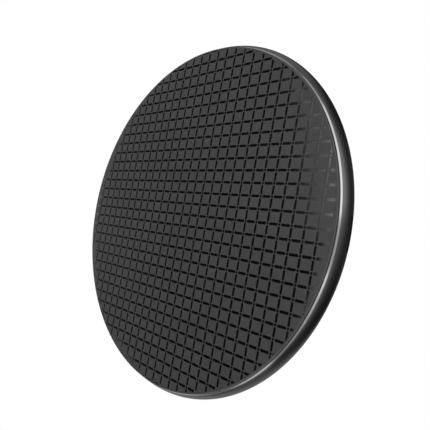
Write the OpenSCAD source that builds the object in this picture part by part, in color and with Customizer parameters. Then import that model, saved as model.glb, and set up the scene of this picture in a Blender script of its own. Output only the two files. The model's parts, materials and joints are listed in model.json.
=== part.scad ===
// Round desk-top wireless charging pad with a metal rim and a micro-USB inlet.
// Millimetres. The origin is the centre of the foot ring's underside, on the
// table. +Z points out of the charging face and the inlet faces -Y.

/* [Overall] */
// Largest diameter, at the bulge of the rim
pad_d = 100; // [96:0.5:110]
// Height from the table to the charging face
pad_h = 8.4; // [8.4:0.1:9.4]
// How far the charging face's edge lies inside the bulge
face_inset = 1.6; // [1.5:0.1:1.7]

/* [Top cover] */
// Thickness of the top cover
cover_t = 0.9; // [0.8:0.05:1]
// Height of the cover's edge that stands above the rim
cover_proud = 0.72; // [0.6:0.02:0.76]
// Width of the bevel round the cover's face
cover_bevel_w = 0.12; // [0.1:0.02:0.4]
// Height of that bevel
cover_bevel_h = 0.2; // [0.1:0.02:0.3]
// Thickness of the tape that holds the cover
cover_tape_t = 0.15; // [0.1:0.05:0.2]

/* [Rim] */
// Depth of the bulge's widest line below the charging face
belt_drop = 3.4; // [3.2:0.1:3.6]
// Width and height of the polished chamfer on the rim's top edge
rim_chamfer = 0.3; // [0.25:0.01:0.4]
// Radius of the side above the bulge
upper_side_r = 6.5; // [5.5:0.1:8]
// Radius of the bulge
bulge_r = 2.4; // [2:0.1:2.6]
// Lean of the flat part of the lower side, from upright, in degrees
lower_side_lean = 27.5; // [20:0.5:30]
// Radius of the rim's bottom edge
rim_toe_r = 1.6; // [1.2:0.1:1.8]

/* [Inlet] */
// Width of the slot in the rim
port_w = 7.6; // [7.6:0.1:8.4]
// Height of the slot
port_h = 2.9; // [2.7:0.1:3]
// Depth of the slot's top edge below the charging face
port_drop = 3.1; // [3:0.05:3.1]
// Corner radius of the slot
port_corner_r = 0.35; // [0.2:0.05:0.6]

/* [Bottom] */
// Height of the flat underside above the table
base_z = 0.7; // [0.6:0.05:0.8]
// Thickness of the bottom cover
floor_t = 0.8; // [0.8:0.05:0.9]
// Inner radius of the foot ring
foot_r_in = 37.5; // [36:0.5:38]
// Width of the foot ring
foot_w = 7; // [6.5:0.1:7]
// Radius of the circle that the four case screws stand on
screw_circle_r = 41; // [40.8:0.1:41.2]

/* [Coil] */
// Number of turns in the coil
coil_turns = 10; // [6:1:10]
// Pitch of the turns
coil_pitch = 1.38; // [1.3:0.02:1.4]
// Diameter of the coil's wire bundle
wire_d = 1.25; // [1.1:0.05:1.3]
// Radius of the coil's opening
coil_r_in = 10.6; // [10:0.1:10.6]
// Thickness of the ferrite disc
ferrite_t = 1; // [0.8:0.05:1]

/* [Hidden] */
eps = 0.02;
round_fn = 96;
small_fn = 32;

// Rim outline
pad_r = pad_d / 2;
face_r = pad_r - face_inset;
belt_z = pad_h - belt_drop;
rim_top_z = pad_h - cover_proud;
rim_gap = 0.08;
chamfer_r_in = face_r + rim_gap;
chamfer_r_out = chamfer_r_in + rim_chamfer;
chamfer_z = rim_top_z - rim_chamfer;
// The upper side is an arc from the chamfer that runs smoothly into the bulge
bulge_centre = [pad_r - bulge_r, belt_z];
to_chamfer = [chamfer_r_out, chamfer_z] - bulge_centre;
chamfer_far = norm(to_chamfer);
upper_offset = upper_side_r - bulge_r;
join_cos = (upper_side_r * upper_side_r - upper_offset * upper_offset - chamfer_far * chamfer_far)
    / (2 * upper_offset * chamfer_far);
join_angle = atan2(to_chamfer[1], to_chamfer[0]) - acos(join_cos);
upper_centre = bulge_centre - upper_offset * [cos(join_angle), sin(join_angle)];
upper_end = atan2(chamfer_z - upper_centre[1], chamfer_r_out - upper_centre[0]);
toe_drop = rim_toe_r * (1 - sin(lower_side_lean));
toe_start_z = base_z + toe_drop;
lean_start_z = belt_z - bulge_r * sin(lower_side_lean);
lean_start_r = bulge_centre[0] + bulge_r * cos(lower_side_lean);
toe_start_r = lean_start_r - (lean_start_z - toe_start_z) * tan(lower_side_lean);
toe_centre_r = toe_start_r - rim_toe_r * cos(lower_side_lean);
toe_centre_z = base_z + rim_toe_r;
arc_steps = 10;

// Rim inside
seat_r = pad_r - 2;
pocket_r = pad_r - 2.6;
skirt_r = pad_r - 3.4;
ledge_r = pad_r - 4.4;
skirt_z = 2.2;
ledge_t = 0.75;
fit_gap = 0.1;
lug_w = 7;
lug_t = 1;
lug_z = 3.6;
lug_root = 0.4;

// Stack under the cover
cover_z = pad_h - cover_t;
cover_plug_r = seat_r - fit_gap;
cover_tape_z = cover_z - cover_tape_t;
cover_tape_w = 18;
tape_inset = 0.5;
plate_t = 0.8;
plate_z = cover_tape_z - plate_t;
ledge_z = plate_z - ledge_t;

// Coil stack, glued under the plate
coil_tape_t = 0.1;
coil_tape_inset = 0.3;
coil_r_out = coil_r_in + (coil_turns + 1) * coil_pitch;
coil_first_r = coil_r_in + coil_pitch / 2;
coil_last_r = coil_first_r + coil_turns * coil_pitch;
coil_z = plate_z - coil_tape_t - wire_d / 2;
ferrite_tape_t = 0.1;
ferrite_top_z = coil_z - wire_d / 2 - ferrite_tape_t;
ferrite_z = ferrite_top_z - ferrite_t;
ferrite_r = coil_r_out + 0.9;
notch_w = 4;
notch_start = 7;
fence_notch_w = 7;
coil_fence_gap = 0.3;
coil_fence_t = 1;
coil_fence_h = wire_d - 0.1;

// Bottom cover
floor_z = base_z + floor_t;
bottom_r = skirt_r - fit_gap;
foot_groove_h = 0.25;
foot_tape_t = 0.1;
foot_tape_inset = 0.2;
foot_gap = 0.1;
foot_round = 0.25;
foot_top_z = base_z + foot_groove_h - foot_tape_t;
rim_wall_t = 0.9;
rim_wall_h = 0.6;
rim_wall_gap_w = 46;
foam_rib_r = 20;
foam_rib_t = 2;
foam_rib_h = 1;
foam_overlap = 1;
label_r = 15;
label_t = 0.1;

// Case screws
screw_count = 4;
screw_shank_r = 0.78;
screw_hole_r = 1.1;
screw_pilot_r = 0.8;
screw_head_r = 1.8;
screw_head_h = 1.1;
head_hole_r = 2;
screw_seat_z = 2.4;
pillar_r = 2.9;
boss_r = 2.6;
screw_tip_z = 6;
pilot_end_z = 6.3;
slot_w = 0.45;
slot_depth = 0.5;

// Circuit board
port_z = pad_h - port_drop - port_h / 2;
usb_w = 7.4;
usb_h = 2.45;
usb_len = 5.5;
usb_wall = 0.25;
usb_slant = 1;
usb_slant_h = 0.9;
usb_front = -(pad_r - 1.3);
usb_back = usb_front + usb_len;
usb_leg_w = 1.1;
usb_leg_end = 0.2;
usb_leg_lap = 0.3;
usb_leg_y = usb_front + 3.9;
pcb_t = 0.8;
pcb_top = port_z - usb_h / 2;
pcb_z = pcb_top - pcb_t;
pcb_r_out = skirt_r - 0.3;
pcb_r_in = 28.5;
pcb_half_w = 21;
pcb_hole_r = 0.9;
pcb_screw_at = [17.5, -27];
pcb_screw_r = 0.7;
pcb_head_r = 1.6;
pcb_head_h = 0.9;
pcb_boss_r = 2.4;
pcb_pilot_r = 0.72;
pcb_pilot_z = base_z + 0.25;
leg_slot_gap = 0.15;

// USB inlet inside
tongue_w = 3.7;
tongue_t = 0.6;
tongue_reach = 3.6;
tongue_drop = 0.55;
tongue_back = 0.6;
contact_count = 5;
contact_pitch = 0.65;
contact_w = 0.3;
contact_t = 0.12;
contact_tail = 0.9;
contact_inset = 0.3;

// Leads
lead_d = 0.9;
bend_swell = 1.06;
lead_gap = 0.05;
lead_z = ferrite_z + lead_d / 2 + lead_gap;
lead_x = 0.95;
lead_dip = 0.2;
outer_lead_start = [1.35, 0.3];
outer_lead_x = 1.7;
lead_drop_y = -28;
lead_pad_x = 2.6;
lead_pad_y = -30.4;
lead_pad_z = pcb_top + lead_d / 2 * bend_swell;
lead_tail = 0.9;
sensor_r = 0.9;
sensor_h = 0.9;
sensor_at = [0.65, -8.8];
sensor_wire_t = 0.3;
sensor_wire_gap = 0.7;
solder_r = 0.9;
solder_top_r = 0.35;
solder_h = 0.95;

// Board parts: centres [x, y] and sizes [x, y, z]
controller_size = [6, 6, 0.85];
controller_at = [0, -38];
regulator_size = [3, 1.75, 1.1];
regulator_at = [-5.8, -40.8];
bridge_size = [3.3, 3.3, 0.85];
bridge_at = [9, -40];
bridge_pitch = 4.1;
resonant_size = [3.2, 2.5, 1.9];
resonant_at = [7.5, -32.6];
resonant_pitch = 3.1;
resonant_count = 4;
bulk_size = [2.5, 3.2, 2.2];
bulk_x = 6.6;
bulk_y = -44.2;
inductor_size = [6, 6, 3];
inductor_at = [-12, -38.5];
inductor_corner_r = 1;
inductor_base_h = 0.4;
inductor_inset = 0.15;
sense_size = [6.3, 3.2, 0.6];
sense_at = [-13.5, -32.4];
crystal_size = [3.2, 2.5, 0.75];
crystal_at = [-7.6, -33.2];
chip_r_size = [1.6, 0.8, 0.45];
chip_c_size = [1, 1.6, 0.8];
chip_pitch = 2.2;
chip_r_pitch = 1.1;
chip_gap = 0.4;
chip_row_count = 3;
thermal_pad_size = [9, 7.8];

// Points on an arc from angle a0 to a1, degrees from the radial direction
function arc(centre, r, a0, a1) = [
    for (i = [0 : arc_steps])
        let (a = a0 + (a1 - a0) * i / arc_steps)
        [centre[0] + r * cos(a), centre[1] + r * sin(a)]
];

// Outer side of the rim from the chamfer down to the underside
function rim_side() = concat(
    arc(upper_centre, upper_side_r, upper_end, join_angle),
    arc(bulge_centre, bulge_r, join_angle, -lower_side_lean),
    arc([toe_centre_r, toe_centre_z], rim_toe_r, -lower_side_lean, -90)
);

// Where the case screws stand
function screw_angle(i) = 45 + i * 360 / screw_count;

module on_screws() {
    for (i = [0 : screw_count - 1])
        rotate([0, 0, screw_angle(i)]) translate([screw_circle_r, 0, 0]) children();
}

module disc(r, z0, z1) {
    translate([0, 0, z0]) cylinder(r = r, h = z1 - z0, $fn = round_fn);
}

module ring(r_in, r_out, z0, z1) {
    difference() {
        disc(r_out, z0, z1);
        disc(r_in, z0 - 1, z1 + 1);
    }
}

module post(r, z0, z1) {
    translate([0, 0, z0]) cylinder(r = r, h = z1 - z0, $fn = small_fn);
}

module rounded_rect(w, h, r) {
    square([w - 2 * r, h], center = true);
    square([w, h - 2 * r], center = true);
    for (x = [-1, 1], y = [-1, 1])
        translate([x * (w / 2 - r), y * (h / 2 - r)]) circle(r = r, $fn = small_fn);
}

// A straight piece of wire from one point to another
module wire(from, to, r) {
    span = to - from;
    len = norm(span);
    translate(from) rotate([0, acos(span[2] / len), atan2(span[1], span[0])])
        cylinder(r = r, h = len, $fn = small_fn);
}

module bend(at, r) {
    translate(at) sphere(r = r * bend_swell, $fn = small_fn);
}

module wire_run(points, r) {
    for (i = [0 : len(points) - 2]) wire(points[i], points[i + 1], r);
    for (i = [1 : len(points) - 2]) bend(points[i], r);
}

// A block standing on the board
module board_block(at, size) {
    translate([at[0] - size[0] / 2, at[1] - size[1] / 2, pcb_top]) cube(size);
}

// ---- outside ----

module top_cover() {
    color([0.2, 0.2, 0.21])
        rotate_extrude($fn = round_fn) polygon([
            [0, cover_z],
            [cover_plug_r, cover_z],
            [cover_plug_r, rim_top_z],
            [face_r, rim_top_z],
            [face_r, pad_h - cover_bevel_h],
            [face_r - cover_bevel_w, pad_h],
            [0, pad_h]
        ]);
}

module cover_tape() {
    color([0.15, 0.15, 0.15])
        ring(cover_plug_r - cover_tape_w, cover_plug_r - tape_inset, cover_tape_z, cover_z);
}

module port_cut() {
    translate([0, -ledge_r, port_z]) rotate([90, 0, 0])
        linear_extrude(pad_r - ledge_r + 1) rounded_rect(port_w, port_h, port_corner_r);
}

module rim_body() {
    rotate_extrude($fn = round_fn) polygon(concat(
        [[seat_r, plate_z], [seat_r, rim_top_z], [chamfer_r_in, rim_top_z]],
        rim_side(),
        [
            [skirt_r, base_z],
            [skirt_r, skirt_z],
            [pocket_r, skirt_z],
            [pocket_r, ledge_z],
            [ledge_r, ledge_z],
            [ledge_r, plate_z]
        ]
    ));
}

module screw_lug() {
    difference() {
        union() {
            translate([screw_circle_r, -lug_w / 2, lug_z])
                cube([pocket_r - screw_circle_r + lug_root, lug_w, lug_t]);
            translate([screw_circle_r, 0, lug_z])
                cylinder(r = lug_w / 2, h = lug_t, $fn = small_fn);
        }
        translate([screw_circle_r, 0, 0]) post(screw_hole_r, lug_z - 1, lug_z + lug_t + 1);
    }
}

module frame_ring() {
    color([0.16, 0.16, 0.17]) {
        difference() {
            rim_body();
            port_cut();
        }
        for (i = [0 : screw_count - 1]) rotate([0, 0, screw_angle(i)]) screw_lug();
    }
}

module bottom_cover() {
    wall_r = bottom_r - rim_wall_t;
    color([0.1, 0.1, 0.1]) difference() {
        union() {
            disc(bottom_r, base_z, floor_z);
            difference() {
                ring(wall_r, bottom_r, floor_z - eps, floor_z + rim_wall_h);
                translate([-rim_wall_gap_w / 2, -pad_r, floor_z])
                    cube([rim_wall_gap_w, pad_r, 2]);
            }
            ring(foam_rib_r, foam_rib_r + foam_rib_t, floor_z - eps, floor_z + foam_rib_h);
            on_screws() post(pillar_r, floor_z - eps, lug_z);
            for (s = [-1, 1]) translate([s * pcb_screw_at[0], pcb_screw_at[1], 0])
                post(pcb_boss_r, floor_z - eps, pcb_z);
        }
        ring(foot_r_in - foot_gap, foot_r_in + foot_w + foot_gap, base_z - 1, base_z + foot_groove_h);
        on_screws() post(head_hole_r, base_z, screw_seat_z);
        on_screws() post(screw_hole_r, base_z, lug_z + 1);
        for (s = [-1, 1]) translate([s * pcb_screw_at[0], pcb_screw_at[1], 0])
            post(pcb_pilot_r, pcb_pilot_z, pcb_z + 1);
    }
}

module foot_ring() {
    r0 = foot_r_in;
    r1 = foot_r_in + foot_w;
    color([0.07, 0.07, 0.07]) rotate_extrude($fn = round_fn) polygon([
        [r0 + foot_round, 0],
        [r1 - foot_round, 0],
        [r1, foot_round],
        [r1, foot_top_z],
        [r0, foot_top_z],
        [r0, foot_round]
    ]);
}

module foot_tape() {
    color([0.8, 0.78, 0.7]) difference() {
        ring(
            foot_r_in + foot_tape_inset,
            foot_r_in + foot_w - foot_tape_inset,
            foot_top_z,
            foot_top_z + foot_tape_t
        );
        on_screws() post(head_hole_r, 0, 2);
    }
}

module blank_label() {
    color([0.85, 0.85, 0.85]) disc(label_r, base_z - label_t, base_z);
}

module case_screws() {
    head_z = screw_seat_z - screw_head_h;
    color([0.75, 0.75, 0.77]) on_screws() difference() {
        union() {
            post(screw_head_r, head_z, screw_seat_z);
            post(screw_shank_r, screw_seat_z - eps, screw_tip_z - screw_shank_r);
            translate([0, 0, screw_tip_z - screw_shank_r])
                cylinder(r1 = screw_shank_r, r2 = screw_shank_r / 3, h = screw_shank_r, $fn = small_fn);
        }
        for (turn = [0, 90]) rotate([0, 0, turn])
            translate([-screw_head_r * 0.6, -slot_w / 2, head_z - 1])
            cube([screw_head_r * 1.2, slot_w, slot_depth + 1]);
    }
}

// ---- coil stack ----

module inner_plate() {
    fence_r = coil_r_out + coil_fence_gap;
    color([0.12, 0.12, 0.12]) difference() {
        union() {
            disc(cover_plug_r, plate_z, plate_z + plate_t);
            difference() {
                ring(fence_r, fence_r + coil_fence_t, plate_z - coil_fence_h, plate_z + eps);
                translate([-fence_notch_w / 2, -pad_r, plate_z - 3]) cube([fence_notch_w, pad_r, 3]);
            }
            on_screws() post(boss_r, lug_z + lug_t, plate_z + eps);
        }
        on_screws() post(screw_pilot_r, lug_z, pilot_end_z);
    }
}

// Tape over the coil's turns
module tape_ring(z0, z1) {
    ring(coil_r_in + coil_tape_inset, coil_r_out - coil_tape_inset, z0, z1);
}

module coil_tape() {
    color([0.9, 0.8, 0.5]) tape_ring(plate_z - coil_tape_t, plate_z);
}

// Half a turn of the spiral, on the +Y side of its own centre
module half_turn(r) {
    rotate_extrude(angle = 180, $fn = round_fn)
        translate([r, 0]) circle(d = wire_d, $fn = small_fn);
}

// Flat spiral of half turns: every other one is moved over by half a pitch
module charging_coil() {
    color([0.72, 0.42, 0.2]) translate([0, 0, coil_z]) rotate([0, 0, -90])
        for (i = [0 : 2 * coil_turns - 1]) {
            r = coil_first_r + i * coil_pitch / 2;
            if (i % 2 == 0) half_turn(r);
            else translate([coil_pitch / 2, 0, 0]) rotate([0, 0, 180]) half_turn(r);
        }
}

// The inner lead runs out through the ferrite's notch, under the turns
function inner_lead() = [
    [0, -coil_first_r, coil_z],
    [-lead_x, -coil_first_r, coil_z - lead_dip],
    [-lead_x, -coil_first_r, lead_z],
    [-lead_x, lead_drop_y, lead_z],
    [-lead_pad_x, lead_pad_y, lead_pad_z],
    [-lead_pad_x, lead_pad_y - lead_tail, lead_pad_z]
];

function outer_lead() = [
    [0, -coil_last_r, coil_z],
    [outer_lead_start[0], -coil_last_r - outer_lead_start[1], coil_z - lead_dip],
    [outer_lead_x, lead_drop_y, lead_z],
    [lead_pad_x, lead_pad_y, lead_pad_z],
    [lead_pad_x, lead_pad_y - lead_tail, lead_pad_z]
];

module coil_leads() {
    color([0.72, 0.42, 0.2]) {
        wire_run(inner_lead(), lead_d / 2);
        wire_run(outer_lead(), lead_d / 2);
    }
}

// A cone of solder on each pad, notched where the lead's end lies in it
module lead_solder() {
    color([0.7, 0.7, 0.72]) for (s = [-1, 1])
        translate([s * lead_pad_x, lead_pad_y - lead_tail, pcb_top]) difference() {
            cylinder(r1 = solder_r, r2 = solder_top_r, h = solder_h, $fn = small_fn);
            translate([-lead_d / 2, 0, -1]) cube([lead_d, solder_r + 1, solder_h + 2]);
        }
}

module wire_notch(z0, z1) {
    translate([-notch_w / 2, -ferrite_r - 1, z0])
        cube([notch_w, ferrite_r + 1 - notch_start, z1 - z0]);
}

module ferrite_tape() {
    color([0.9, 0.8, 0.5]) difference() {
        tape_ring(ferrite_top_z, ferrite_top_z + ferrite_tape_t);
        wire_notch(ferrite_top_z - 1, ferrite_top_z + 1);
    }
}

module ferrite_disc() {
    color([0.13, 0.13, 0.14]) difference() {
        disc(ferrite_r, ferrite_z, ferrite_top_z);
        wire_notch(ferrite_z - 1, ferrite_top_z + 1);
    }
}

module foam_cushion() {
    color([0.25, 0.25, 0.26]) ring(
        foam_rib_r - foam_overlap,
        foam_rib_r + foam_rib_t + foam_overlap,
        floor_z + foam_rib_h,
        ferrite_z
    );
}

module heat_sensor() {
    color([0.1, 0.1, 0.1]) translate([sensor_at[0], sensor_at[1], 0])
        post(sensor_r, ferrite_z, ferrite_z + sensor_h);
}

// Two flat wires that run out under the coil and come down to the board
module sensor_wires() {
    half = sensor_wire_t / 2;
    run_z = ferrite_z + sensor_wire_t;
    end_z = pcb_top + half;
    path = [
        [sensor_at[1] - sensor_r, run_z],
        [lead_drop_y, run_z],
        [lead_pad_y - lead_tail, end_z]
    ];
    side = concat(
        [for (i = [0 : 2]) [path[i][0], path[i][1] + half]],
        [for (i = [0 : 2]) [path[2 - i][0], path[2 - i][1] - half]]
    );
    color([0.8, 0.7, 0.3]) for (s = [-1, 1])
        translate([sensor_at[0] + s * sensor_wire_gap / 2 - half, 0, 0])
        rotate([90, 0, 90]) linear_extrude(sensor_wire_t) polygon(side);
}

// ---- circuit board ----

module circuit_board() {
    color([0.05, 0.3, 0.15]) difference() {
        intersection() {
            ring(pcb_r_in, pcb_r_out, pcb_z, pcb_top);
            translate([-pcb_half_w, -pad_r, 0]) cube([2 * pcb_half_w, pad_r, pad_h]);
        }
        for (s = [-1, 1]) {
            translate([s * pcb_screw_at[0], pcb_screw_at[1], 0])
                post(pcb_hole_r, pcb_z - 1, pcb_top + 1);
            translate([
                s * (usb_w / 2 - usb_wall / 2) - usb_wall / 2 - leg_slot_gap,
                usb_leg_y - leg_slot_gap,
                pcb_z - 1
            ])
                cube([usb_wall + 2 * leg_slot_gap, usb_leg_w + 2 * leg_slot_gap, pcb_t + 2]);
        }
    }
}

module board_screws() {
    color([0.75, 0.75, 0.77]) for (s = [-1, 1])
        translate([s * pcb_screw_at[0], pcb_screw_at[1], 0]) difference() {
            union() {
                post(pcb_head_r, pcb_top, pcb_top + pcb_head_h);
                post(pcb_screw_r, pcb_pilot_z + 0.1, pcb_top + eps);
            }
            for (turn = [0, 90]) rotate([0, 0, turn])
                translate([-pcb_head_r * 0.6, -slot_w / 2, pcb_top + pcb_head_h - slot_depth])
                cube([pcb_head_r * 1.2, slot_w, 1]);
        }
}

module thermal_pad() {
    color([0.55, 0.6, 0.7])
        translate([
            bridge_at[0] + bridge_pitch / 2 - thermal_pad_size[0] / 2,
            bridge_at[1] + bridge_pitch / 2 - thermal_pad_size[1] / 2,
            floor_z
        ])
        cube([thermal_pad_size[0], thermal_pad_size[1], pcb_z - floor_z]);
}

// Outline of the inlet: full width above, corners cut off below
module usb_outline(inset) {
    w = usb_w / 2 - inset;
    h = usb_h / 2 - inset;
    slant = usb_slant - inset * 0.4;
    polygon([
        [-w, h],
        [w, h],
        [w, -h + usb_slant_h],
        [w - slant, -h],
        [-w + slant, -h],
        [-w, -h + usb_slant_h]
    ]);
}

module usb_housing() {
    color([0.75, 0.75, 0.76]) {
        translate([0, usb_back, port_z]) rotate([90, 0, 0]) linear_extrude(usb_len)
            difference() {
                usb_outline(0);
                usb_outline(usb_wall);
            }
        for (s = [-1, 1])
            translate([
                s * (usb_w / 2 - usb_wall / 2) - usb_wall / 2,
                usb_leg_y,
                pcb_z - usb_leg_end
            ])
            cube([usb_wall, usb_leg_w, pcb_t + usb_leg_end + usb_slant_h + usb_leg_lap]);
    }
}

module usb_tongue() {
    top = port_z + usb_h / 2 - usb_wall - tongue_drop;
    color([0.08, 0.08, 0.08]) {
        translate([0, usb_back, port_z]) rotate([90, 0, 0])
            linear_extrude(usb_len - tongue_reach - tongue_back) usb_outline(usb_wall);
        translate([-tongue_w / 2, usb_front + tongue_back, top - tongue_t])
            cube([tongue_w, tongue_reach + eps, tongue_t]);
    }
}

module usb_contacts() {
    top = port_z + usb_h / 2 - usb_wall - tongue_drop - tongue_t;
    color([0.85, 0.7, 0.3]) for (i = [0 : contact_count - 1]) {
        x = (i - (contact_count - 1) / 2) * contact_pitch - contact_w / 2;
        translate([x, usb_front + tongue_back + contact_inset, top - contact_t])
            cube([contact_w, tongue_reach - contact_inset, contact_t]);
        translate([x, usb_back, pcb_top]) cube([contact_w, contact_tail, contact_t]);
    }
}

module controller_chip() {
    color([0.08, 0.08, 0.08]) board_block(controller_at, controller_size);
}

module regulator_chip() {
    color([0.08, 0.08, 0.08]) board_block(regulator_at, regulator_size);
}

module bridge_transistors() {
    color([0.1, 0.1, 0.1]) for (i = [0, 1], j = [0, 1])
        board_block([bridge_at[0] + i * bridge_pitch, bridge_at[1] + j * bridge_pitch], bridge_size);
}

module resonant_capacitors() {
    color([0.55, 0.45, 0.35]) for (i = [0 : resonant_count - 1])
        board_block([resonant_at[0] + i * resonant_pitch, resonant_at[1]], [
            resonant_size[1],
            resonant_size[0],
            resonant_size[2]
        ]);
}

module bulk_capacitors() {
    color([0.6, 0.5, 0.38]) for (s = [-1, 1]) board_block([s * bulk_x, bulk_y], bulk_size);
}

module power_inductor() {
    color([0.3, 0.3, 0.32]) {
        board_block(inductor_at, [inductor_size[0], inductor_size[1], inductor_base_h]);
        translate([inductor_at[0], inductor_at[1], pcb_top])
            linear_extrude(inductor_size[2])
            rounded_rect(
                inductor_size[0] - 2 * inductor_inset,
                inductor_size[1] - 2 * inductor_inset,
                inductor_corner_r
            );
    }
}

module sense_resistor() {
    color([0.15, 0.15, 0.16]) board_block(sense_at, sense_size);
}

module crystal() {
    color([0.75, 0.75, 0.77]) board_block(crystal_at, crystal_size);
}

module chip_resistors() {
    color([0.12, 0.12, 0.12]) for (s = [-1, 1], i = [0 : chip_row_count - 1])
        board_block([
            s * (controller_size[0] / 2 + chip_gap + chip_r_size[0] / 2),
            controller_at[1] + (i - 1) * chip_r_pitch
        ], chip_r_size);
}

module chip_capacitors() {
    color([0.6, 0.5, 0.38]) for (i = [0 : chip_row_count - 1])
        board_block([
            controller_at[0] + (i - 1) * chip_pitch,
            controller_at[1] + controller_size[1] / 2 + chip_gap + chip_c_size[1] / 2
        ], chip_c_size);
}

top_cover();
cover_tape();
inner_plate();
frame_ring();
bottom_cover();
foot_ring();
foot_tape();
blank_label();
case_screws();
coil_tape();
charging_coil();
coil_leads();
lead_solder();
ferrite_tape();
ferrite_disc();
foam_cushion();
heat_sensor();
sensor_wires();
circuit_board();
board_screws();
thermal_pad();
usb_housing();
usb_tongue();
usb_contacts();
controller_chip();
regulator_chip();
bridge_transistors();
resonant_capacitors();
bulk_capacitors();
power_inductor();
sense_resistor();
crystal();
chip_resistors();
chip_capacitors();
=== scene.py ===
import json
import math

import bpy
from mathutils import Matrix, Vector


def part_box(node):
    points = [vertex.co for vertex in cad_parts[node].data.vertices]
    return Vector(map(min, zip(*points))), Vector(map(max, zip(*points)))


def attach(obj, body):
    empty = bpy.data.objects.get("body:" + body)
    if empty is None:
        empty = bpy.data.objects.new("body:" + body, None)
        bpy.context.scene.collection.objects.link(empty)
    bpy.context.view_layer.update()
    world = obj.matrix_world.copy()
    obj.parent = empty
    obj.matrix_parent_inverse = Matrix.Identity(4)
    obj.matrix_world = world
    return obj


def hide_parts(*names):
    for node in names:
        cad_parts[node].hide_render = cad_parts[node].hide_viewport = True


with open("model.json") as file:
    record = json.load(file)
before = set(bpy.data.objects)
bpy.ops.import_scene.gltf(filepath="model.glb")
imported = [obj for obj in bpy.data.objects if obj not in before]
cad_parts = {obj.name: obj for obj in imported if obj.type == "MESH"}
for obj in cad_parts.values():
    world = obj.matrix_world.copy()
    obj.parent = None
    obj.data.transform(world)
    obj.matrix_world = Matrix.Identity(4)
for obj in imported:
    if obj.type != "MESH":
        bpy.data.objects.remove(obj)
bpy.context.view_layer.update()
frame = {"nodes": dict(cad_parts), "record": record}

MM = 0.001
# How far a cutting piece reaches past what it cuts, in millimetres
OVERCUT = 1

# ---- where things are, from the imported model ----

cover_low, cover_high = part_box("top_cover")
rim_low, rim_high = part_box("frame_ring")
# In metres, for the camera and the materials
FACE_R = cover_high.x
FACE_Z = cover_high.z
# In millimetres, for the meshes
FACE = FACE_R / MM
TOP = FACE_Z / MM
COVER_LOW = cover_low.z / MM
PAD = rim_high.x / MM
BASE = rim_low.z / MM


# ---- camera ----

# The pad lies flat and is seen from the inlet's side, half from above, with the
# picture turned so that the inlet's side is on the right. Angles are in degrees.
VIEW_AZIMUTH = -3.23
VIEW_ELEVATION = 45.1
VIEW_ROLL = -77.83
# In face radii: how far the camera is from the point it looks at, and where
# that point lies on the face
VIEW_DISTANCE = 2.3365
VIEW_AIM = (-0.0630, -0.2862)
# Focal length and sensor width in millimetres
LENS = 36.06
SENSOR = 36
SHIFT_Y = 0.0334
# The nearest and farthest that the camera sees, in metres
CLIP_START = 0.001
CLIP_END = 20


def direction(azimuth, elevation):
    """Unit vector, azimuth in degrees from -Y towards +X."""
    a, e = math.radians(azimuth), math.radians(elevation)
    return Vector((math.sin(a) * math.cos(e), -math.cos(a) * math.cos(e), math.sin(e)))


def make_camera():
    back = direction(VIEW_AZIMUTH, VIEW_ELEVATION)
    aim = Vector((VIEW_AIM[0] * FACE_R, VIEW_AIM[1] * FACE_R, FACE_Z))
    place = aim + back * VIEW_DISTANCE * FACE_R
    turn = (-back).to_track_quat("-Z", "Y").to_matrix()
    turn = turn @ Matrix.Rotation(math.radians(VIEW_ROLL), 3, "Z")
    data = bpy.data.cameras.new("camera")
    data.lens = LENS
    data.sensor_width = SENSOR
    data.shift_y = SHIFT_Y
    data.clip_start = CLIP_START
    data.clip_end = CLIP_END
    camera = bpy.data.objects.new("camera", data)
    camera.matrix_world = Matrix.Translation(place) @ turn.to_4x4()
    bpy.context.scene.collection.objects.link(camera)
    bpy.context.scene.camera = camera


# ---- node materials ----

# How much shorter a strand's run is in the noise that draws it than on the wire
STRAND_SQUEEZE = 0.05


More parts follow.
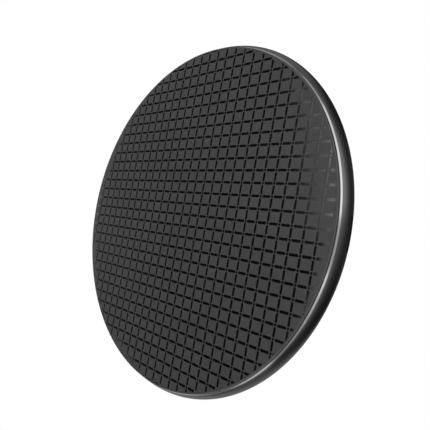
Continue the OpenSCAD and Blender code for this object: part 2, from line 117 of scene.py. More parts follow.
class Nodes:
    """A material's node tree, with short calls for the nodes used here."""

    def __init__(self, name):
        self.material = bpy.data.materials.new(name)
        self.material.use_nodes = True
        self.tree = self.material.node_tree
        self.shader = self.tree.nodes["Principled BSDF"]
        self.place = self.add("ShaderNodeTexCoord").outputs["Object"]

    def add(self, kind, **values):
        node = self.tree.nodes.new(kind)
        for key, value in values.items():
            setattr(node, key, value)
        return node

    def link(self, source, target):
        self.tree.links.new(source, target)

    def constant(self, socket, value):
        self.shader.inputs[socket].default_value = value

    def stretched(self, scale):
        mapping = self.add("ShaderNodeMapping")
        mapping.inputs["Scale"].default_value = scale
        self.link(self.place, mapping.inputs["Vector"])
        return mapping.outputs["Vector"]

    def round_place(self):
        """Radius, nothing and height: lines drawn by this run round the Z axis."""
        flat = self.add("ShaderNodeVectorMath", operation="MULTIPLY")
        flat.inputs[1].default_value = (1, 1, 0)
        self.link(self.place, flat.inputs[0])
        radius = self.add("ShaderNodeVectorMath", operation="LENGTH")
        self.link(flat.outputs["Vector"], radius.inputs[0])
        parts = self.add("ShaderNodeSeparateXYZ")
        self.link(self.place, parts.inputs["Vector"])
        joined = self.add("ShaderNodeCombineXYZ")
        self.link(radius.outputs["Value"], joined.inputs["X"])
        self.link(parts.outputs["Z"], joined.inputs["Z"])
        return joined.outputs["Vector"]

    def part(self, vector, axis):
        node = self.add("ShaderNodeSeparateXYZ")
        self.link(vector, node.inputs["Vector"])
        return node.outputs[axis]

    def computed(self, how, first, second):
        """First and second joined by a Math operation. Each is a socket or a number."""
        node = self.add("ShaderNodeMath", operation=how)
        for source, target in zip((first, second), node.inputs):
            if isinstance(source, (int, float)):
                target.default_value = source
            else:
                self.link(source, target)
        return node.outputs["Value"]

    def times(self, first, second):
        return self.computed("MULTIPLY", first, second)

    def compared(self, value, start, end):
        """1 between start and end, or else 0."""
        above = self.computed("GREATER_THAN", value, start)
        below = self.computed("LESS_THAN", value, end)
        return self.times(above, below)

    def twisted(self, twist):
        """Place along a wire that runs round the Z axis, squeezed so that noise drawn
        there makes strands, and skewed by the twist."""
        radius = self.part(self.round_place(), "X")
        turn = self.computed("ARCTAN2", self.part(self.place, "Y"), self.part(self.place, "X"))
        along = self.times(turn, radius)
        across = self.computed("ADD", radius, self.times(along, twist))
        joined = self.add("ShaderNodeCombineXYZ")
        self.link(across, joined.inputs["X"])
        self.link(self.times(along, STRAND_SQUEEZE), joined.inputs["Y"])
        self.link(self.part(self.place, "Z"), joined.inputs["Z"])
        return joined.outputs["Vector"]

    def choose(self, factor, first, second):
        """The first colour, or where factor is 1, the second."""
        node = self.add("ShaderNodeMix", data_type="RGBA")
        self.link(factor, node.inputs["Factor"])
        self.link(first, node.inputs["A"])
        node.inputs["B"].default_value = (*second, 1)
        return node.outputs["Result"]

    def waves(self, size):
        """Straight bands of about that width in millimetres, along Y."""
        node = self.add("ShaderNodeTexWave", bands_direction="X")
        node.inputs["Scale"].default_value = 0.3 / (size * MM)
        node.inputs["Distortion"].default_value = 0.4
        self.link(self.place, node.inputs["Vector"])
        return node.outputs["Fac"]

    def noise(self, size, detail=3, place=None, roughness=0.5):
        """Noise with features of about that size in millimetres."""
        node = self.add("ShaderNodeTexNoise")
        node.inputs["Scale"].default_value = 1 / (size * MM)
        node.inputs["Detail"].default_value = detail
        node.inputs["Roughness"].default_value = roughness
        self.link(place or self.place, node.inputs["Vector"])
        return node.outputs["Fac"]

    def cells(self, size):
        node = self.add("ShaderNodeTexVoronoi")
        node.inputs["Scale"].default_value = 1 / (size * MM)
        self.link(self.place, node.inputs["Vector"])
        return node.outputs["Distance"]

    def spread(self, value, low, high, start=0.3, end=0.7):
        node = self.add("ShaderNodeMapRange")
        node.inputs["From Min"].default_value = start
        node.inputs["From Max"].default_value = end
        node.inputs["To Min"].default_value = low
        node.inputs["To Max"].default_value = high
        self.link(value, node.inputs["Value"])
        return node.outputs["Result"]

    def blend(self, value, *stops):
        """Colour from a 0 to 1 value: stops are (place, colour)."""
        node = self.add("ShaderNodeValToRGB")
        ramp = node.color_ramp
        while len(ramp.elements) < len(stops):
            ramp.elements.new(0.5)
        for element, (place, colour) in zip(ramp.elements, stops):
            element.position = place
            element.color = (*colour, 1)
        self.link(value, node.inputs["Fac"])
        return node.outputs["Color"]

    def colour(self, source):
        self.link(source, self.shader.inputs["Base Color"])

    def roughness(self, source):
        self.link(source, self.shader.inputs["Roughness"])

    def bump(self, height, depth, strength=1.0):
        """Relief of that depth in millimetres, over earlier relief."""
        node = self.add("ShaderNodeBump")
        node.inputs["Strength"].default_value = strength
        node.inputs["Distance"].default_value = depth * MM
        self.link(height, node.inputs["Height"])
        earlier = self.shader.inputs["Normal"].links
        if earlier:
            self.link(earlier[0].from_socket, node.inputs["Normal"])
        self.link(node.outputs["Normal"], self.shader.inputs["Normal"])


def tone(level, tint=(1, 1, 1)):
    return tuple(level * t for t in tint)


# Where the face starts to sink towards its edge, as a share of its radius, and
# how far it sinks, in millimetres
ROLL_START = 0.92
ROLL_DROP = 0.15


def rolled_edge(n):
    """The face's last few millimetres look as if they sink towards its edge."""
    radius = n.part(n.round_place(), "X")
    part = n.spread(radius, 0, 1, ROLL_START * FACE_R, FACE_R)
    fall = n.computed("POWER", part, 2)
    n.bump(n.computed("SUBTRACT", 1, fall), ROLL_DROP)


def cover_matte():
    """The face's squares: fine matte moulding, a little uneven."""
    n = Nodes("cover_matte")
    n.colour(n.blend(n.noise(9, 4), (0.3, tone(0.07)), (0.7, tone(0.078, (0.99, 1, 1.03)))))
    n.roughness(n.spread(n.noise(0.8), 0.4, 0.48))
    n.bump(n.noise(0.12, 2), 0.004)
    rolled_edge(n)
    return n.material


def cover_gloss():
    """The dashes: smooth black, sunk into the face."""
    n = Nodes("cover_gloss")
    n.colour(n.blend(n.noise(3), (0.3, tone(0.0012)), (0.7, tone(0.0022))))
    n.roughness(n.spread(n.noise(1.5), 0.1, 0.13))
    n.bump(n.noise(0.3, 2), 0.001)
    rolled_edge(n)
    return n.material


def cover_cut(name, level):
    """The cut and polished edge round the face, at the given tone. That tone is painted light:
    darker on the upright side as shade, lighter on the bevel as a highlight.
    """
    n = Nodes(name)
    n.colour(n.blend(n.noise(2), (0.3, tone(level)), (0.7, tone(1.2 * level))))
    n.roughness(n.spread(n.noise(0.7), 0.2, 0.28))
    n.bump(n.noise(0.2, 2), 0.001)
    n.constant("IOR", 1.7)
    return n.material


def rim_satin():
    """Dark anodised aluminium, turned on a lathe."""
    n = Nodes("rim_satin")
    rings = n.noise(0.06, 2, n.round_place())
    n.colour(n.blend(n.noise(6, 4), (0.3, tone(0.22)), (0.7, tone(0.24, (1, 1, 1.02)))))
    n.roughness(n.spread(rings, 0.22, 0.29))
    n.bump(rings, 0.0006)
    n.constant("Metallic", 1.0)
    return n.material


def rim_bright():
    """The chamfer, cut bright after anodising."""
    n = Nodes("rim_bright")
    rings = n.noise(0.05, 2, n.round_place())
    n.colour(n.blend(n.noise(5, 3), (0.3, tone(0.80)), (0.7, tone(0.86))))
    n.roughness(n.spread(rings, 0.14, 0.2))
    n.bump(rings, 0.0004)
    n.constant("Metallic", 1.0)
    return n.material


def slot_walls_painted_shade():
    """The walls of the inlet's slot: near black, which is painted shade down in the slot."""
    n = Nodes("slot_walls_painted_shade")
    n.colour(n.blend(n.noise(1.5, 3), (0.3, tone(0.008)), (0.7, tone(0.014))))
    n.roughness(n.spread(n.noise(0.5), 0.5, 0.62))
    n.bump(n.noise(0.1, 2), 0.003)
    return n.material


def moulded_black():
    """Black plastic from a spark-eroded mould."""
    n = Nodes("moulded_black")
    n.colour(n.blend(n.noise(14, 4), (0.3, tone(0.02)), (0.7, tone(0.027, (1, 1, 1.05)))))
    n.roughness(n.spread(n.noise(0.6), 0.42, 0.56))
    n.bump(n.noise(0.22, 3, roughness=0.65), 0.012)
    n.bump(n.noise(9, 2), 0.03)
    return n.material


def silicone():
    """Foot rubber: dull, with a trace of dust in its pores."""
    n = Nodes("silicone")
    n.colour(n.blend(n.noise(0.35, 5), (0.4, tone(0.011)), (0.62, tone(0.015)), (0.75, tone(0.03))))
    n.roughness(n.spread(n.noise(4), 0.6, 0.78))
    n.bump(n.noise(0.4, 3), 0.02)
    n.constant("Specular IOR Level", 0.35)
    return n.material


def foam_tape():
    """Black double-sided tape: closed cells under a matt skin, painted darker in each cell's hollow
    as shade.
    """
    n = Nodes("foam_tape")
    # Painted shade: darker where the cells' bump is lowest
    n.colour(n.blend(n.cells(0.3), (0.1, tone(0.012)), (0.6, tone(0.03))))
    n.roughness(n.spread(n.noise(2), 0.75, 0.9))
    n.bump(n.cells(0.3), 0.03)
    return n.material


def adhesive_film():
    """Amber film with glue on both sides and small trapped bubbles."""
    n = Nodes("adhesive_film")
    n.colour(n.blend(n.noise(6, 3), (0.3, (0.46, 0.33, 0.13)), (0.7, (0.58, 0.46, 0.24))))
    n.roughness(n.spread(n.cells(1.6), 0.5, 0.18, 0.05, 0.3))
    n.bump(n.cells(1.6), 0.008)
    n.constant("Transmission Weight", 0.35)
    return n.material


# The label's line: its distance from the label's edge and its width, in millimetres
LABEL_LINE_INSET = 0.8
LABEL_LINE_W = 0.3


def label_film():
    """Blank silver film with a thin darker line near its edge."""
    n = Nodes("label_film")
    radius = n.part(n.round_place(), "X")
    line_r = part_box("blank_label")[1].x - LABEL_LINE_INSET * MM
    line = n.compared(radius, line_r - LABEL_LINE_W * MM, line_r)
    grain = n.blend(n.noise(0.8, 4), (0.3, tone(0.40)), (0.7, tone(0.46, (1, 1, 1.02))))
    n.colour(n.choose(line, grain, (0.05, 0.05, 0.052)))
    n.roughness(n.spread(n.noise(0.3, 3), 0.28, 0.4))
    n.bump(n.noise(0.15, 2), 0.003)
    n.constant("Metallic", 0.6)
    return n.material


def plated(name, colour, rough):
    """Plated metal: slight clouding, and fine marks from the tool."""
    n = Nodes(name)
    darker = tuple(0.84 * c for c in colour)
    n.colour(n.blend(n.noise(1.4, 4), (0.3, darker), (0.7, colour)))
    n.roughness(n.spread(n.noise(0.5, 3), rough, rough + 0.14))
    n.bump(n.noise(0.08, 2, n.stretched((1, 1, 0.15))), 0.002)
    n.constant("Metallic", 1.0)
    return n.material


def zinc():
    return plated("zinc", (0.52, 0.54, 0.58), 0.24)


# The inlet's shell: plated metal in a very dark tone, which is painted shade for the shade down in
# the slot
def nickel_painted_shade():
    return plated("nickel_painted_shade", (0.12, 0.118, 0.115), 0.34)


def gold():
    return plated("gold", (0.82, 0.58, 0.22), 0.18)


def tinned():
    return plated("tinned", (0.66, 0.66, 0.64), 0.16)


def enamelled(name, colour, twist):
    """Enamelled copper strands laid up into one wire, which runs round the Z axis. The grooves
    between the strands are painted darker, as shade.
    """
    n = Nodes(name)
    strands = n.noise(0.16, 1, n.twisted(twist))
    # Painted shade: the colour is darker where the strands' bump is lowest
    groove_painted_shade = tuple(0.55 * c for c in colour)
    n.colour(n.blend(strands, (0.36, groove_painted_shade), (0.55, colour)))
    n.roughness(n.spread(n.noise(1.2), 0.24, 0.36))
    n.bump(strands, 0.05)
    n.constant("Metallic", 0.9)
    n.constant("Coat Weight", 0.5)
    return n.material


def coil_strands():
    return enamelled("coil_strands", (0.72, 0.33, 0.14), 0.3)


def sensor_enamel():
    return enamelled("sensor_enamel", (0.62, 0.42, 0.14), 0.1)


def sintered():
    """Ferrite: dark grey, dull and a little speckled."""
    n = Nodes("sintered")
    n.colour(n.blend(n.noise(0.25, 5), (0.35, tone(0.03)), (0.6, tone(0.05)), (0.75, tone(0.085))))
    n.roughness(n.spread(n.noise(2.5), 0.5, 0.72))
    n.bump(n.noise(0.18, 4), 0.012)
    return n.material


def open_foam():
    """Dark grey foam with open cells, painted darker down in each pore as shade."""
    n = Nodes("open_foam")
    # Painted shade: darker where the cells' bump is lowest
    n.colour(n.blend(n.cells(0.45), (0.15, tone(0.012)), (0.55, tone(0.06))))
    n.roughness(n.spread(n.noise(1), 0.85, 0.98))
    n.bump(n.cells(0.45), 0.12)
    return n.material


def dipped_epoxy():
    """The sensor's bead: glossy, run smooth by its own surface tension."""
    n = Nodes("dipped_epoxy")
    n.colour(n.blend(n.noise(0.8), (0.3, tone(0.008)), (0.7, (0.022, 0.018, 0.016))))
    n.roughness(n.spread(n.noise(0.5), 0.06, 0.14))
    n.bump(n.noise(0.7, 1), 0.03)
    return n.material


def solder_mask():
    """Green mask over copper: traces stand out a little lighter and higher."""
    n = Nodes("solder_mask")
    traces = n.waves(0.55)
    fields = n.spread(n.noise(5, 1), 0, 1, 0.5, 0.52)
    copper = n.times(traces, fields)
    n.colour(n.blend(copper, (0.35, (0.006, 0.05, 0.02)), (0.6, (0.012, 0.12, 0.045))))
    n.roughness(n.spread(n.noise(1.5), 0.2, 0.32))
    n.bump(copper, 0.02)
    n.constant("Coat Weight", 0.4)
    return n.material


def soft_silicone():
    """The thermal pad: blue-grey, with filler grains."""
    n = Nodes("soft_silicone")
    n.colour(n.blend(n.noise(0.2, 3), (0.35, (0.17, 0.22, 0.32)), (0.65, (0.25, 0.31, 0.42))))
    n.roughness(n.spread(n.noise(1.5), 0.55, 0.7))
    n.bump(n.noise(0.3, 2), 0.02)
    return n.material


def chip_epoxy():
    """Moulded chip body with a faintly grainy top."""
    n = Nodes("chip_epoxy")
    n.colour(n.blend(n.noise(0.12, 3), (0.35, tone(0.012)), (0.7, tone(0.028))))
    n.roughness(n.spread(n.noise(0.8), 0.48, 0.62))
    n.bump(n.noise(0.07, 2), 0.006)
    return n.material


def fired_ceramic():
    """Tan ceramic, slightly mottled."""
    n = Nodes("fired_ceramic")
    n.colour(n.blend(n.noise(0.5, 4), (0.3, (0.22, 0.14, 0.085)), (0.7, (0.34, 0.24, 0.15))))
    n.roughness(n.spread(n.noise(0.4), 0.32, 0.46))
    n.bump(n.noise(0.12, 2), 0.006)
    return n.material


# What each material slot of the record is finished with
FINISHES = {
    "black_plastic": moulded_black,
    "foot_rubber": silicone,
    "black_tape": foam_tape,
    "clear_tape": adhesive_film,
    "label": label_film,
    "screw_steel": zinc,
    "coil_wire": coil_strands,
    "solder": tinned,
    "ferrite": sintered,
    "foam": open_foam,
    "sensor_bead": dipped_epoxy,
    "sensor_wire": sensor_enamel,
    "board": solder_mask,
    "thermal_pad": soft_silicone,
    "inlet_metal": nickel_painted_shade,
    "contact_metal": gold,
    "chip_body": chip_epoxy,
    "capacitor_body": fired_ceramic,
}


def finish_nodes():
    """Every CAD node that is shown gets the finish of its slot in the record."""
    made = {}
    for row in frame["record"]["subparts"]:
        slot = row["material_slot"]
        node = frame["nodes"][row["node"]]
        if slot not in FINISHES:
            continue
        if slot not in made:
            made[slot] = FINISHES[slot]()
        for place in node.material_slots:
            place.material = made[slot]


# ---- mesh building ----


def add_object(name, mesh):
    piece = bpy.data.objects.new(name, mesh)
    bpy.context.scene.collection.objects.link(piece)
    return piece


def mesh_from(name, verts, faces, marks=None):
    mesh = bpy.data.meshes.new(name)
    mesh.from_pydata(verts, [], faces)
    if marks is not None:
        mesh.polygons.foreach_set("material_index", marks)
    mesh.update()
    return mesh


def lathe(name, outline, marks, segments):
    """Turns a closed outline of (radius, height), in millimetres and anticlockwise
    on the +X side, round the Z axis. marks holds one material number for each
    side of the outline. A point at radius 0 is one vertex."""
    verts, rows = [], []
    for r, z in outline:
        if r == 0:
            rows.append([len(verts)] * segments)
            verts.append((0, 0, z * MM))
            continue
        rows.append(list(range(len(verts), len(verts) + segments)))
        for i in range(segments):
            a = 2 * math.pi * i / segments
            verts.append((r * MM * math.cos(a), r * MM * math.sin(a), z * MM))
    faces, numbers = [], []
    for j in range(len(outline)):
        low, high = rows[j], rows[(j + 1) % len(rows)]
        if low[0] == low[1] and high[0] == high[1]:
            continue
        for i in range(segments):
            k = (i + 1) % segments
            face = [low[i], low[k], high[k], high[i]]
            faces.append(list(dict.fromkeys(face)))
            numbers.append(marks[j])
    return add_object(name, mesh_from(name, verts, faces, numbers))


def arc(centre, r, a0, a1, steps):
    """Points on an arc, angles in degrees from the radial direction."""
    turns = [math.radians(a0 + (a1 - a0) * i / steps) for i in range(steps + 1)]
    return [(centre[0] + r * math.cos(a), centre[1] + r * math.sin(a)) for a in turns]


def prisms(name, outlines, z0, z1, mark=0):
    """Closed prisms, in millimetres, one for each outline of (x, y) points."""
    verts, faces = [], []
    for outline in outlines:
        first, count = len(verts), len(outline)
        for z in (z0, z1):
            verts.extend((x * MM, y * MM, z * MM) for x, y in outline)
        faces.append([first + i for i in reversed(range(count))])
        faces.append([first + count + i for i in range(count)])
        for i in range(count):
            k = (i + 1) % count
            faces.append([first + i, first + k, first + count + k, first + count + i])
    return add_object(name, mesh_from(name, verts, faces, [mark] * len(faces)))


def combine(piece, other, operation):
    """Boolean of two closed pieces, then the second one is removed."""
    modifier = piece.modifiers.new("cut", "BOOLEAN")
    modifier.operation = operation
    modifier.object = other
    modifier.solver = "MANIFOLD"
    bpy.context.view_layer.update()
    solid = piece.evaluated_get(bpy.context.evaluated_depsgraph_get())
    mesh = bpy.data.meshes.new_from_object(solid)
    piece.modifiers.clear()
    piece.data = mesh
    bpy.data.objects.remove(other)


def paint(piece, *materials):
    for material in materials:
        piece.data.materials.append(material)


def smooth(piece, angle=30):
    piece.data.shade_smooth()
    piece.data.set_sharp_from_angle(angle=math.radians(angle))


# ---- top cover ----

# Sizes of the cover in millimetres
COVER_PROUD = 0.72
BEVEL_W = 0.12
BEVEL_H = 0.2
PLUG_INSET = 0.5
COVER_STEPS = 256
# The pattern of dashes and dots, in millimetres
PITCH_X = FACE / 15.145
PITCH_Y = FACE / 14.067
GRID_SHIFT_Y = 0.0058 * FACE
PATTERN_R = 0.99 * FACE
DASH_SHARE = 0.69
DASH_X_W = 0.61
DASH_Y_W = 0.66
DASH_DEPTH = 0.06
DOT_R = 0.34
DOT_CORNERS = 8
# Material numbers
MATTE, GLOSS, SIDE, BEVEL = range(4)


def oblong(x, y, half_x, half_y):
    return [(x - half_x, y - half_y), (x + half_x, y - half_y),
            (x + half_x, y + half_y), (x - half_x, y + half_y)]


def clipped(outline, r):
    """An outline of straight sides cut to the inside of a circle round 0, 0."""
    inside = [p for p in outline if math.hypot(*p) <= r]
    if len(inside) == len(outline):
        return outline
    points = []
    for i, p in enumerate(outline):
        q = outline[(i + 1) % len(outline)]
        p_in, q_in = math.hypot(*p) <= r, math.hypot(*q) <= r
        if p_in:
            points.append(p)
        if p_in != q_in:
            points.append(crossing(p, q, r))
    return points if inside else []


def crossing(p, q, r):
    """Where the line from p to q meets the circle."""
    dx, dy = q[0] - p[0], q[1] - p[1]
    a = dx * dx + dy * dy
    b = p[0] * dx + p[1] * dy
    c = p[0] ** 2 + p[1] ** 2 - r * r
    root = math.sqrt(b * b - a * c)
    t = (-b + root) / a
    if not 0 <= t <= 1:
        t = (-b - root) / a
    return (p[0] + t * dx, p[1] + t * dy)


def grid_outlines():
    """A dash in the middle of every side of every cell, and a dot at every corner."""
    count = int(PATTERN_R / PITCH_X) + 2
    found = []
    for i in range(-count, count + 1):
        for j in range(-count, count + 1):
            x = i * PITCH_X
            y = GRID_SHIFT_Y + j * PITCH_Y
            along_x = oblong(x + PITCH_X / 2, y, DASH_SHARE * PITCH_X / 2, DASH_X_W / 2)
            along_y = oblong(x, y + PITCH_Y / 2, DASH_Y_W / 2, DASH_SHARE * PITCH_Y / 2)
            found += [clipped(along_x, PATTERN_R), clipped(along_y, PATTERN_R)]
            if math.hypot(x, y) < PATTERN_R - DOT_R:
                half_side = 180 / DOT_CORNERS
                found.append(arc((x, y), DOT_R, half_side, 360 + half_side, DOT_CORNERS)[:-1])
    return [outline for outline in found if len(outline) > 2]


def make_cover():
    plug_r = FACE - PLUG_INSET
    outline = [
        (0, COVER_LOW),
        (plug_r, COVER_LOW),
        (plug_r, TOP - COVER_PROUD),
        (FACE, TOP - COVER_PROUD),
        (FACE, TOP - BEVEL_H),
        (FACE - BEVEL_W, TOP),
        (0, TOP),
    ]
    marks = [MATTE, MATTE, MATTE, SIDE, BEVEL, MATTE, MATTE]
    cover = lathe("cover", outline, marks, COVER_STEPS)
    dashes = prisms("dashes", grid_outlines(), TOP - DASH_DEPTH, TOP + OVERCUT, GLOSS)
    # One cut edge in two tones: its upright side is painted darker, as shade, and its bevel is
    # painted lighter, as a highlight
    side = cover_cut("cover_side_painted_shade", 0.028)
    bevel = cover_cut("cover_bevel_painted_highlight", 0.12)
    materials = cover_matte(), cover_gloss(), side, bevel
    paint(cover, *materials)
    paint(dashes, *materials)
    combine(cover, dashes, "DIFFERENCE")
    smooth(cover)
    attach(cover, "root")
    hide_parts("top_cover")


# ---- rim ----

# Sizes of the rim in millimetres and degrees
RIM_TOP = TOP - COVER_PROUD
RIM_GAP = 0.08
CHAMFER = 0.3
BELT_DROP = 3.4
UPPER_SIDE_R = 6.5
BULGE_R = 2.4
LOWER_LEAN = 27.5
TOE_R = 1.6
SEAT_R = PAD - 2
POCKET_R = PAD - 2.6
SKIRT_R = PAD - 3.4
LEDGE_R = PAD - 4.4
SKIRT_Z = 2.2
RIM_STEPS = 360
# The inner plate lies under the cover and its tape, on the rim's ledge
TAPE_T = 0.15
PLATE_T = 0.8
PLATE_Z = COVER_LOW - TAPE_T - PLATE_T
LEDGE_Z = PLATE_Z - 0.75
# The lugs that the case screws go through
SCREW_COUNT = 4
FIRST_SCREW = 45
SCREW_CIRCLE_R = 41
SCREW_HOLE_R = 1.1
LUG_W = 7
LUG_Z = 3.6
LUG_T = 1
LUG_ROOT = 0.4
# The inlet's slot
SLOT_W = 7.6
SLOT_H = 2.9
SLOT_DROP = 3.1
SLOT_CORNER_R = 0.35
# Material numbers
SATIN, BRIGHT, SLOT = range(3)


def rim_side():
    """The rim's outer side, from the chamfer down to the underside."""
    chamfer_r = FACE + RIM_GAP + CHAMFER
    chamfer_z = RIM_TOP - CHAMFER
    bulge = (PAD - BULGE_R, TOP - BELT_DROP)
    # The upper arc runs smoothly into the bulge
    dx, dz = chamfer_r - bulge[0], chamfer_z - bulge[1]
    far, offset = math.hypot(dx, dz), UPPER_SIDE_R - BULGE_R
    bend = math.acos((UPPER_SIDE_R ** 2 - offset ** 2 - far ** 2) / (2 * offset * far))
    join = math.atan2(dz, dx) - bend
    upper = (bulge[0] - offset * math.cos(join), bulge[1] - offset * math.sin(join))
    start = math.degrees(math.atan2(chamfer_z - upper[1], chamfer_r - upper[0]))
    join = math.degrees(join)
    # Below it a straight part leans inwards to the toe
    lean = math.radians(LOWER_LEAN)
    lean_r = bulge[0] + BULGE_R * math.cos(lean)
    lean_z = bulge[1] - BULGE_R * math.sin(lean)
    toe_z = BASE + TOE_R * (1 - math.sin(lean))
    toe_r = lean_r - (lean_z - toe_z) * math.tan(lean)
    toe = (toe_r - TOE_R * math.cos(lean), BASE + TOE_R)
    return (
        arc(upper, UPPER_SIDE_R, start, join, 12)
        + arc(bulge, BULGE_R, join, 0, 8)[1:]
        + arc(bulge, BULGE_R, 0, -LOWER_LEAN, 8)[1:]
        + arc(toe, TOE_R, -LOWER_LEAN, -90, 12)
    )


def rim_inside():
    """The rim's inner side, from the underside up to the chamfer."""
    return [
        (SKIRT_R, BASE), (SKIRT_R, SKIRT_Z), (POCKET_R, SKIRT_Z), (POCKET_R, LEDGE_Z),
        (LEDGE_R, LEDGE_Z), (LEDGE_R, PLATE_Z), (SEAT_R, PLATE_Z), (SEAT_R, RIM_TOP),
        (FACE + RIM_GAP, RIM_TOP),
    ]


def turned(outline, angle):
    cos, sin = math.cos(math.radians(angle)), math.sin(math.radians(angle))
    return [(x * cos - y * sin, x * sin + y * cos) for x, y in outline]


def at_screws(outline):
    """Copies of an outline, turned to where the case screws are."""
    return [turned(outline, FIRST_SCREW + k * 360 / SCREW_COUNT) for k in range(SCREW_COUNT)]


def make_lugs():
    half, root = LUG_W / 2, POCKET_R + LUG_ROOT
    lug = arc((SCREW_CIRCLE_R, 0), half, 90, 270, 12) + [(root, -half), (root, half)]
    hole = arc((SCREW_CIRCLE_R, 0), SCREW_HOLE_R, 0, 360, 24)[:-1]
    low, high = LUG_Z, LUG_Z + LUG_T
    lugs = prisms("lugs", at_screws(lug), low, high, SATIN)
    holes = prisms("holes", at_screws(hole), low - OVERCUT, high + OVERCUT, SATIN)
    combine(lugs, holes, "DIFFERENCE")
    return lugs


def make_slot():
    outline = rounded_rect(SLOT_W, SLOT_H, SLOT_CORNER_R)
    slot = prisms("slot", [outline], LEDGE_R, PAD + OVERCUT, SLOT)
    middle = (TOP - SLOT_DROP - SLOT_H / 2) * MM
    slot.matrix_world = Matrix.Translation((0, 0, middle)) @ Matrix.Rotation(math.pi / 2, 4, "X")
    return slot


def make_rim():
    side = rim_side()
    inside = rim_inside()
    outline = list(reversed(side + inside))
    chamfer = {side[0], inside[-1]}
    marks = []
    for j, point in enumerate(outline):
        following = outline[(j + 1) % len(outline)]
        marks.append(BRIGHT if {point, following} == chamfer else SATIN)
    rim = lathe("rim", outline, marks, RIM_STEPS)
    lugs, slot = make_lugs(), make_slot()
    materials = rim_satin(), rim_bright(), slot_walls_painted_shade()
    for piece in (rim, lugs, slot):
        paint(piece, *materials)
    combine(rim, lugs, "UNION")
    combine(rim, slot, "DIFFERENCE")
    smooth(rim, 25)
    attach(rim, "root")
    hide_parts("frame_ring")


def rounded_rect(w, h, r, steps=6):
    points = []
    for sx, sy, start in ((1, 1, 0), (-1, 1, 90), (-1, -1, 180), (1, -1, 270)):
        points += arc((sx * (w / 2 - r), sy * (h / 2 - r)), r, start, start + 90, steps)
    return points


# ---- stage and light ----

FLOOR_SIZE = 6.0
WHITE = (1, 1, 1, 1)


def make_floor():
    """A white floor that shows no shadow, is clear from below, and isn't mirrored by
    the metal, which reflects the studio round it instead."""
    half = FLOOR_SIZE / 2
    corners = [(-half, -half, 0), (half, -half, 0), (half, half, 0), (-half, half, 0)]
    floor = add_object("floor", mesh_from("floor", corners, [[0, 1, 2, 3]]))
    material = bpy.data.materials.new("floor_white")
    material.use_nodes = True
    tree = material.node_tree
    tree.nodes.clear()
    out = tree.nodes.new("ShaderNodeOutputMaterial")
    glow = tree.nodes.new("ShaderNodeEmission")
    glow.inputs["Color"].default_value = WHITE
    clear = tree.nodes.new("ShaderNodeBsdfTransparent")
    side = tree.nodes.new("ShaderNodeNewGeometry")
    mix = tree.nodes.new("ShaderNodeMixShader")
    tree.links.new(side.outputs["Backfacing"], mix.inputs["Fac"])
    tree.links.new(glow.outputs["Emission"], mix.inputs[1])
    tree.links.new(clear.outputs["BSDF"], mix.inputs[2])
    tree.links.new(mix.outputs["Shader"], out.inputs["Surface"])
    floor.data.materials.append(material)
    floor.visible_glossy = False


def softbox(name, towards, distance, wide, high, radiance, along=None):
    """A rectangular light facing the pad, wide and high in degrees as seen from it.
    Its wide side is level, or runs as nearly along the given vector as it can."""
    data = bpy.data.lights.new(name, "AREA")
    data.shape = "RECTANGLE"
    data.size = 2 * distance * math.tan(math.radians(wide / 2))
    data.size_y = 2 * distance * math.tan(math.radians(high / 2))
    data.energy = radiance * math.pi * data.size * data.size_y
    across = along or Vector((0, 0, 1)).cross(towards)
    across = (across - towards * across.dot(towards)).normalized()
    turn = Matrix((across, towards.cross(across), towards)).transposed()
    light = bpy.data.objects.new(name, data)
    light.matrix_world = Matrix.Translation(towards * distance) @ turn.to_4x4()
    bpy.context.scene.collection.objects.link(light)


# Azimuth and elevation, distance in metres, width and height in degrees, radiance
LIGHTS = {
    # In front and at the ends, for the rim
    "key": (42, 23, 0.8, 54, 28, 0.54),
    "side": (77, 8, 0.8, 20, 15, 0.28),
    "fill": (-32, 33, 0.8, 26, 12, 0.95),
    "brow": (-3, 46, 0.8, 36, 12, 1.3),
    "edge": (-89, 13, 0.8, 36, 14, 0.48),
    # The sheen on the dashes near the inlet's side
    "overhead": (149.5, 58.2, 2.0, 22, 10, 1.9),
    "under": (20, -70, 1.0, 60, 60, 0.05),
    # Low behind, mirrored where the face's far edge sinks
    "rear": (171, 22, 0.8, 42, 9, 0.85),
    "rear left": (209, 28, 0.8, 14, 9, 0.85),
    "rear right": (143, 17, 0.8, 16, 16, 1.0),
    # High up, for the squares
    "crown": (183, 69, 1.5, 44, 7, 1.6),
    "top": (0, 65, 1.5, 60, 18, 2.3),
}
# Where the wide sides of the turned lights run
TURNED = {"overhead": Vector((1, 0.235, 0))}


def make_lights():
    for name, (azimuth, elevation, distance, wide, high, radiance) in LIGHTS.items():
        towards = direction(azimuth, elevation)
        softbox(name, towards, distance, wide, high, radiance, TURNED.get(name))


class Sky:
    """The studio round the pad, as a radiance for each direction."""

    def __init__(self, tree):
        self.tree = tree
        self.place = tree.nodes.new("ShaderNodeTexCoord").outputs["Generated"]

    def towards(self, way, *stops):
        """A value from how far a direction points along another: (part, value)."""
        part = self.tree.nodes.new("ShaderNodeVectorMath")
        part.operation = "DOT_PRODUCT"
        part.inputs[1].default_value = way
        self.tree.links.new(self.place, part.inputs[0])
        middle = self.tree.nodes.new("ShaderNodeMapRange")
        middle.inputs["From Min"].default_value = -1
        self.tree.links.new(part.outputs["Value"], middle.inputs["Value"])
        ramp = self.tree.nodes.new("ShaderNodeValToRGB")
        ramp.color_ramp.interpolation = "EASE"
        while len(ramp.color_ramp.elements) < len(stops):
            ramp.color_ramp.elements.new(0.5)
        for element, (place, value) in zip(ramp.color_ramp.elements, stops):
            element.position = (place + 1) / 2
            element.color = (value, value, value, 1)
        self.tree.links.new(middle.outputs["Result"], ramp.inputs["Fac"])
        return ramp.outputs["Color"]

    def mixed(self, how, first, second):
        node = self.tree.nodes.new("ShaderNodeMix")
        node.data_type = "RGBA"
        node.blend_type = how
        node.inputs["Factor"].default_value = 1
        self.tree.links.new(first, node.inputs["A"])
        self.tree.links.new(second, node.inputs["B"])
        return node.outputs["Result"]


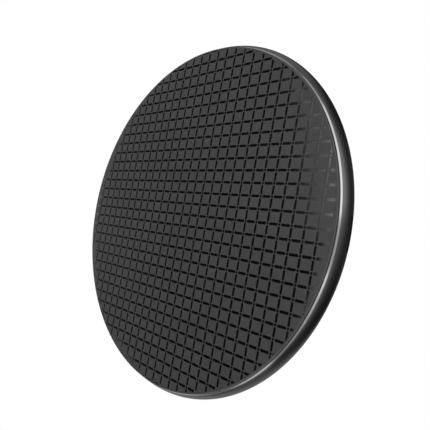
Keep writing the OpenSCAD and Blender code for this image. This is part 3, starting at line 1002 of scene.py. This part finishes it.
def studio_light(sky):
    """All that the pad mirrors, apart from the lights."""
    ceiling = sky.mixed(
        "MULTIPLY",
        sky.towards((0, 0, 1), (-0.1, 0.0), (0.15, 0.03), (0.4, 0.27), (0.7, 0.38), (1.0, 0.3)),
        sky.towards((0, 1, 0), (-0.5, 1.0), (0.4, 0.1)),
    )
    near = sky.towards(direction(25, 10), (0.4, 0.0), (0.85, 0.03), (1.0, 0.12))
    far = sky.towards(direction(188, 12), (0.88, 0.0), (1.0, 0.2))
    horizon = sky.mixed(
        "MULTIPLY",
        sky.towards((0, 0, 1), (-0.55, 0.0), (-0.3, 0.3), (-0.05, 0.3), (0.1, 0.0)),
        sky.towards(direction(118, 0), (0.7, 0.0), (0.95, 1.0)),
    )
    ground = sky.mixed(
        "MULTIPLY",
        sky.towards((0, 0, -1), (-0.1, 0.0), (0.2, 1.0)),
        sky.towards(direction(-125, -20), (0.3, 0.03), (0.8, 0.35), (1.0, 0.4)),
    )
    total = ceiling
    for part in (near, far, horizon, ground):
        total = sky.mixed("ADD", total, part)
    return total


def make_world():
    """The studio's light for the pad, and plain white for the camera."""
    world = bpy.data.worlds.new("studio")
    bpy.context.scene.world = world
    world.use_nodes = True
    tree = world.node_tree
    tree.nodes.clear()
    light = tree.nodes.new("ShaderNodeBackground")
    tree.links.new(studio_light(Sky(tree)), light.inputs["Color"])
    white = tree.nodes.new("ShaderNodeBackground")
    white.inputs["Color"].default_value = WHITE
    ray = tree.nodes.new("ShaderNodeLightPath")
    mix = tree.nodes.new("ShaderNodeMixShader")
    tree.links.new(ray.outputs["Is Camera Ray"], mix.inputs["Fac"])
    tree.links.new(light.outputs["Background"], mix.inputs[1])
    tree.links.new(white.outputs["Background"], mix.inputs[2])
    out = tree.nodes.new("ShaderNodeOutputWorld")
    tree.links.new(mix.outputs["Shader"], out.inputs["Surface"])


make_camera()
make_cover()
make_rim()
finish_nodes()
make_floor()
make_lights()
make_world()
bpy.context.scene.view_settings.view_transform = "Standard"
